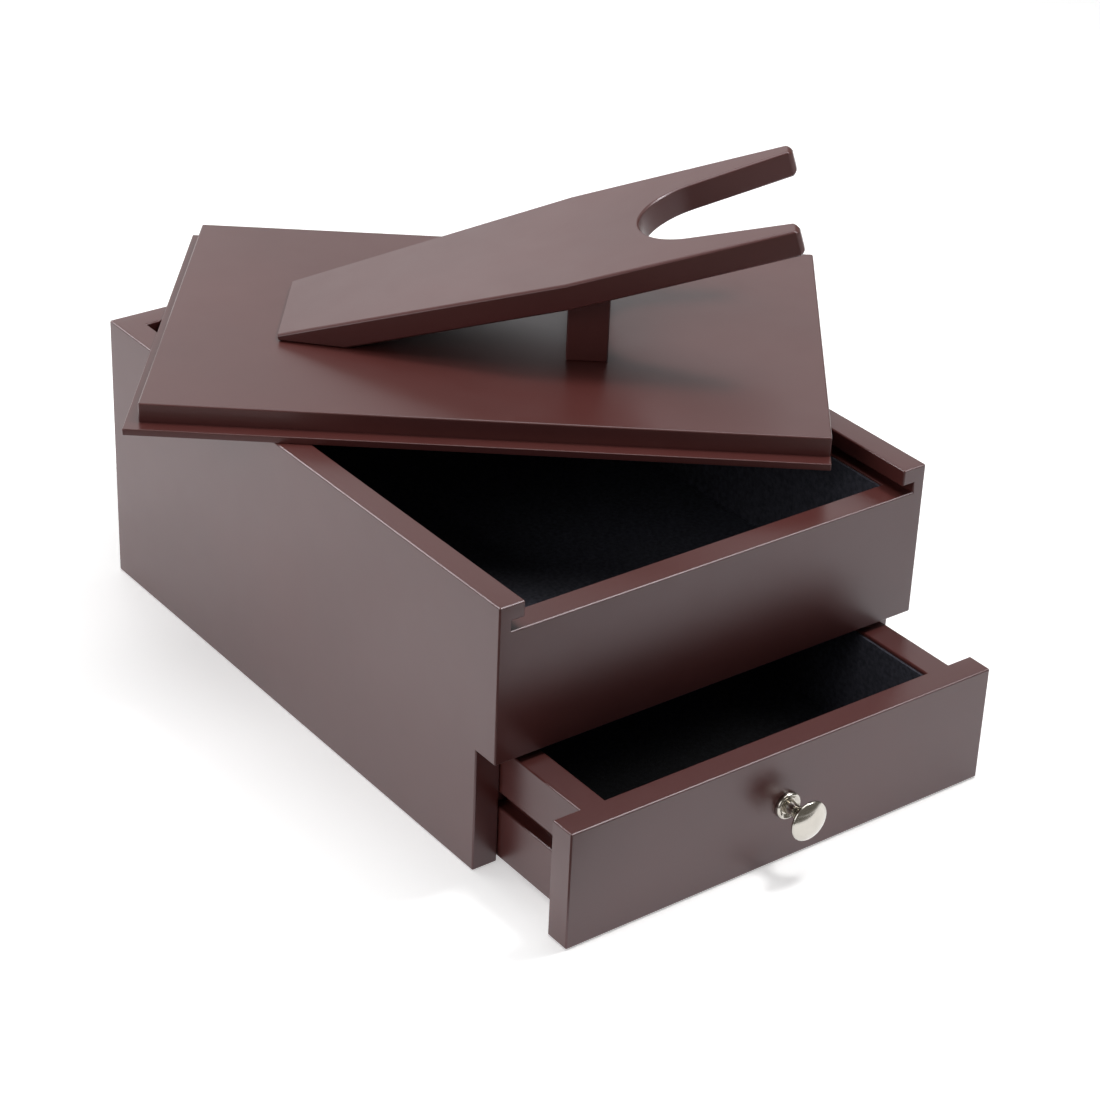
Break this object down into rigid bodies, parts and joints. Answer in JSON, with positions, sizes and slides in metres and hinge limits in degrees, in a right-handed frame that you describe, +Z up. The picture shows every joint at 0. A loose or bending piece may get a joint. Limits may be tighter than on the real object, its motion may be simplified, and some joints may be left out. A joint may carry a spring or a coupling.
{
  "type": "shoe shine box",
  "caption": "Wooden shoe shine box with a lined compartment and drawer, a sliding lid lifted off and a sloping forked footrest on the lid.",
  "frame": {"origin": "middle of the case's bottom edge at the back", "axes": "+Z up, +Y from the drawer end to the back, +X across the case"},
  "size_m": [0.4378, 0.523, 0.2608],
  "materials": {
    "lacquer": "dark mahogany lacquer, smooth and semi-gloss",
    "inner_wood": "dark stained wood, satin",
    "felt": "black felt, short matted pile",
    "nickel": "polished nickel",
    "steel": "bright steel",
    "dowel": "plain beech"
  },
  "bodies": {
    "case": {"left_side": "lacquer", "right_side": "lacquer", "front_panel": "lacquer", "back_board": "lacquer", "compartment_floor": "inner_wood", "compartment_lining_floor": "felt", "compartment_lining_left": "felt", "compartment_lining_right": "felt", "compartment_lining_front": "felt", "compartment_lining_back": "felt", "left_runner": "inner_wood", "right_runner": "inner_wood", "runner_screws": "steel", "case_dowels": "dowel"},
    "drawer": {"drawer_front": "lacquer", "drawer_left_side": "lacquer", "drawer_right_side": "lacquer", "drawer_back": "lacquer", "drawer_bottom": "inner_wood", "drawer_lining_floor": "felt", "drawer_lining_left": "felt", "drawer_lining_right": "felt", "drawer_lining_front": "felt", "drawer_lining_back": "felt", "drawer_dowels": "dowel", "knob": "nickel", "knob_rosette": "nickel", "knob_screw": "steel"},
    "lid": {"lid_board": "lacquer", "footrest": "lacquer", "footrest_post": "lacquer", "lid_screws": "steel", "footrest_dowels": "dowel"}
  },
  "joints": [
    {"name": "drawer_slide", "type": "slide", "parent": "case", "child": "drawer", "axis": [0, -1, 0], "range_m": [-0.0615, 0.1885]},
    {"name": "lid_lift", "type": "slide", "parent": "case", "child": "lid", "axis": [0, 0, 1], "range_m": [0, 0.12]}
  ]
}
